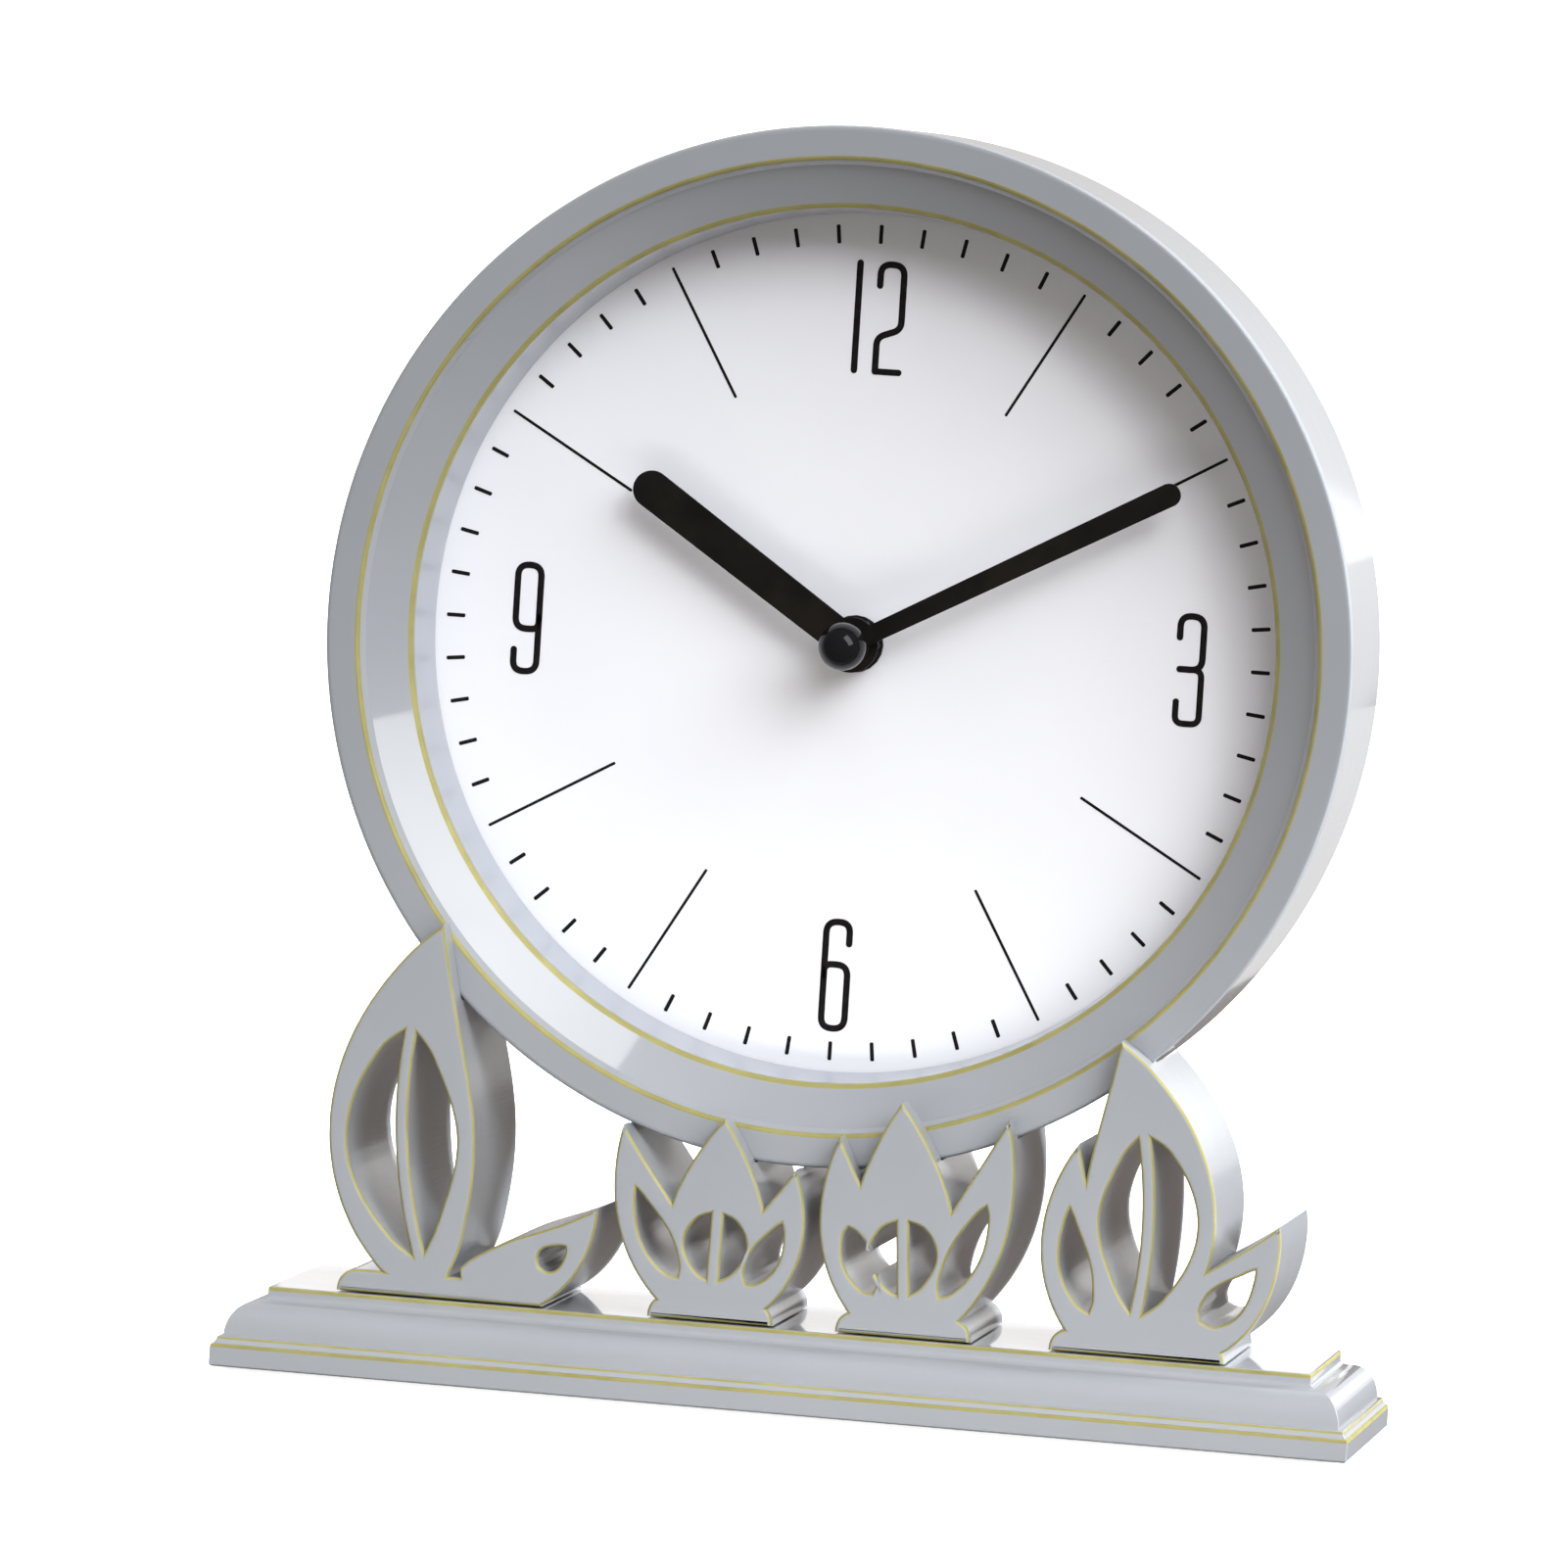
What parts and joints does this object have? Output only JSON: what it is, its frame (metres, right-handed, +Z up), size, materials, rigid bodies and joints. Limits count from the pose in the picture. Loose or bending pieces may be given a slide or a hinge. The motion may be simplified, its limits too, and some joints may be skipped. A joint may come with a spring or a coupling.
{
  "type": "analog table clock",
  "caption": "Free-standing round analog clock on openwork leaf supports and a moulded plinth, with a coupled hand work and a quartz going train behind the recessed dial",
  "frame": {"origin": "on the ground under the middle of the plinth", "axes": "+Z up, the dial faces -Y, +X to the right of a person who reads the dial"},
  "size_m": [0.2348, 0.0648, 0.2616],
  "materials": {
    "lacquer": "satin grey-blue lacquer",
    "dial_white": "matt white printed dial",
    "hand_black": "matt black paint",
    "gloss_black": "glossy black",
    "black_plastic": "fine matt moulded",
    "white_plastic": "natural acetal",
    "brass": "bright turned",
    "steel": "zinc plated",
    "rubber": "matt",
    "copper": "enamelled copper winding",
    "board_green": "solder mask",
    "cell_wrap": "plain wrapped can"
  },
  "bodies": {
    "clock": {"base_plate": "black_plastic", "base_plate_screw_1": "steel", "base_plate_screw_2": "steel", "base_plate_screw_3": "steel", "brass_washer": "brass", "cell": "cell_wrap", "circuit_board": "board_green", "clock_chip": "black_plastic", "coil": "copper", "coil_core": "steel", "contact_negative": "steel", "contact_positive": "steel", "dial": "dial_white", "dial_screw_1": "steel", "dial_screw_2": "steel", "dial_screw_3": "steel", "dial_screw_4": "steel", "drum_case": "lacquer", "drum_screw_1": "steel", "drum_screw_2": "steel", "drum_screw_3": "steel", "drum_screw_4": "steel", "foot_front_left": "rubber", "foot_front_right": "rubber", "foot_rear_left": "rubber", "foot_rear_right": "rubber", "hex_nut": "brass", "leaf_support_left": "lacquer", "leaf_support_right": "lacquer", "movement_case": "black_plastic", "movement_cover": "black_plastic", "palm_support_left": "lacquer", "palm_support_right": "lacquer", "plinth": "lacquer", "quartz_crystal": "steel", "rear_cover": "black_plastic", "rear_cover_screw_1": "steel", "rear_cover_screw_2": "steel", "rear_cover_screw_3": "steel", "rear_cover_screw_4": "steel", "rubber_washer": "rubber", "stator": "steel", "support_screw_1": "steel", "support_screw_2": "steel", "support_screw_3": "steel", "support_screw_4": "steel", "threaded_bush": "brass"},
    "minute_set": {"minute_arbor": "steel", "minute_hand": "hand_black", "hand_cap": "gloss_black"},
    "hour_set": {"hour_wheel": "brass", "hour_hand": "hand_black"},
    "motion_set": {"motion_wheel": "white_plastic"},
    "setting_set": {"setting_knob": "white_plastic"},
    "second_set": {"second_wheel": "white_plastic"},
    "third_set": {"third_wheel": "white_plastic"},
    "centre_set": {"centre_wheel": "brass"},
    "intermediate_set": {"intermediate_wheel": "white_plastic"},
    "rotor_set": {"rotor": "steel"}
  },
  "joints": [
    {"name": "minute_turn", "type": "hinge", "parent": "clock", "child": "minute_set", "pos_m": [0, 0, 0.1556], "axis": [0, 1, 0], "continuous": true},
    {"name": "hour_turn", "type": "hinge", "parent": "clock", "child": "hour_set", "pos_m": [0, 0, 0.1556], "axis": [0, 1, 0], "continuous": true},
    {"name": "motion_turn", "type": "hinge", "parent": "clock", "child": "motion_set", "pos_m": [-0.00902, 0, 0.15232], "axis": [0, 1, 0], "continuous": true},
    {"name": "setting_turn", "type": "hinge", "parent": "clock", "child": "setting_set", "pos_m": [-0.01847, 0, 0.15398], "axis": [0, 1, 0], "continuous": true},
    {"name": "second_turn", "type": "hinge", "parent": "clock", "child": "second_set", "pos_m": [0, 0, 0.1556], "axis": [0, 1, 0], "continuous": true},
    {"name": "third_turn", "type": "hinge", "parent": "clock", "child": "third_set", "pos_m": [0.0051, 0, 0.16443], "axis": [0, 1, 0], "continuous": true},
    {"name": "centre_turn", "type": "hinge", "parent": "clock", "child": "centre_set", "pos_m": [0, 0, 0.1556], "axis": [0, 1, 0], "continuous": true},
    {"name": "intermediate_turn", "type": "hinge", "parent": "clock", "child": "intermediate_set", "pos_m": [-0.00883, 0, 0.1607], "axis": [0, 1, 0], "continuous": true},
    {"name": "rotor_turn", "type": "hinge", "parent": "clock", "child": "rotor_set", "pos_m": [-0.01607, 0, 0.16333], "axis": [0, 1, 0], "continuous": true}
  ],
  "couplings": [
    {"joint": "motion_turn", "follows": "minute_turn", "ratio": -0.33333},
    {"joint": "hour_turn", "follows": "minute_turn", "ratio": 0.083333},
    {"joint": "setting_turn", "follows": "minute_turn", "ratio": 1},
    {"joint": "third_turn", "follows": "second_turn", "ratio": -0.13333},
    {"joint": "centre_turn", "follows": "second_turn", "ratio": 0.016667},
    {"joint": "intermediate_turn", "follows": "second_turn", "ratio": -5},
    {"joint": "rotor_turn", "follows": "second_turn", "ratio": 30}
  ]
}
